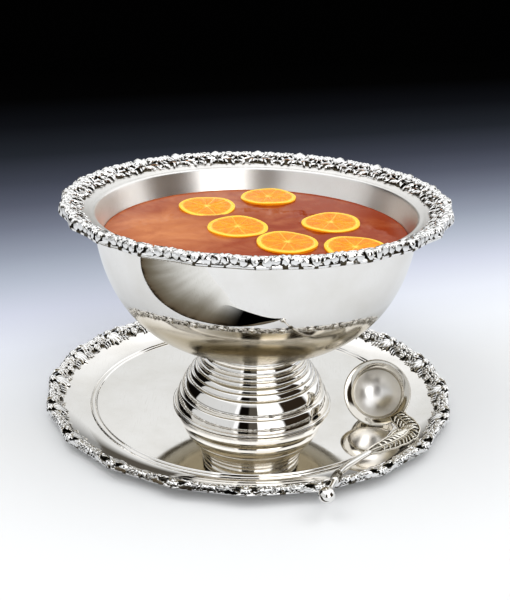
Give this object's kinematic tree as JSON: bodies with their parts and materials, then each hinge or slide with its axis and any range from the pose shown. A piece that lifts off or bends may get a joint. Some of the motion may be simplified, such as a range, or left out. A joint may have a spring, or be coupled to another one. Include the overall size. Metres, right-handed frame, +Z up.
{
  "type": "punch bowl",
  "caption": "Footed silver punch bowl with a cast scroll border, on a matching round tray, with a ball-ended ladle, punch and floating orange slices.",
  "frame": {"origin": "centre of the flat underside of the tray's well, which rests on the table", "axes": "+Z up, +X to the right and +Y to the back, as seen from the side where the ladle's ball overhangs the tray's edge"},
  "size_m": [0.452, 0.4708, 0.2365],
  "materials": {
    "tray_silver": "mirror-polished silver plate on brass",
    "bowl_silver": "mirror-polished silver plate on brass",
    "ladle_silver": "mirror-polished silver plate on brass",
    "cast_silver": "cast relief, silver plated, bright on the high points and dark in the hollows",
    "bare_brass": "turned, unplated",
    "steel": "plain washer",
    "punch": "cloudy orange-red liquid with a glossy surface",
    "orange_rind": "orange peel with a pale pith edge",
    "orange_flesh": "wet orange pulp in segments"
  },
  "bodies": {
    "tray": {"tray_plate": "tray_silver", "tray_border": "cast_silver"},
    "bowl": {"bowl_shell": "bowl_silver", "bowl_border": "cast_silver", "foot_collar": "bowl_silver", "foot_shell": "bowl_silver", "foot_base_wire": "bowl_silver", "foot_stud": "bare_brass", "foot_washer": "steel", "foot_wing_nut": "bare_brass", "punch": "punch"},
    "slice_1": {"slice_1_rind": "orange_rind", "slice_1_flesh": "orange_flesh"},
    "slice_2": {"slice_2_rind": "orange_rind", "slice_2_flesh": "orange_flesh"},
    "slice_3": {"slice_3_rind": "orange_rind", "slice_3_flesh": "orange_flesh"},
    "slice_4": {"slice_4_rind": "orange_rind", "slice_4_flesh": "orange_flesh"},
    "slice_5": {"slice_5_rind": "orange_rind", "slice_5_flesh": "orange_flesh"},
    "slice_6": {"slice_6_rind": "orange_rind", "slice_6_flesh": "orange_flesh"},
    "ladle": {"ladle_cup": "ladle_silver", "ladle_leaf": "cast_silver", "ladle_stem": "ladle_silver", "ladle_ferrule": "cast_silver", "ladle_finial": "ladle_silver"}
  },
  "joints": [
    {"name": "bowl_lift", "type": "slide", "parent": "tray", "child": "bowl", "axis": [0, 0, 1], "range_m": [0, 0.3]},
    {"name": "ladle_lift", "type": "slide", "parent": "tray", "child": "ladle", "axis": [0.6428, -0.3536, 0.6795], "range_m": [0, 0.3]},
    {"name": "slice_1_lift", "type": "slide", "parent": "bowl", "child": "slice_1", "axis": [0, 0, 1], "range_m": [0, 0.08]},
    {"name": "slice_2_lift", "type": "slide", "parent": "bowl", "child": "slice_2", "axis": [0, 0, 1], "range_m": [0, 0.08]},
    {"name": "slice_3_lift", "type": "slide", "parent": "bowl", "child": "slice_3", "axis": [0, 0, 1], "range_m": [0, 0.08]},
    {"name": "slice_4_lift", "type": "slide", "parent": "bowl", "child": "slice_4", "axis": [0, 0, 1], "range_m": [0, 0.08]},
    {"name": "slice_5_lift", "type": "slide", "parent": "bowl", "child": "slice_5", "axis": [0, 0, 1], "range_m": [0, 0.08]},
    {"name": "slice_6_lift", "type": "slide", "parent": "bowl", "child": "slice_6", "axis": [0, 0, 1], "range_m": [0, 0.08]}
  ]
}
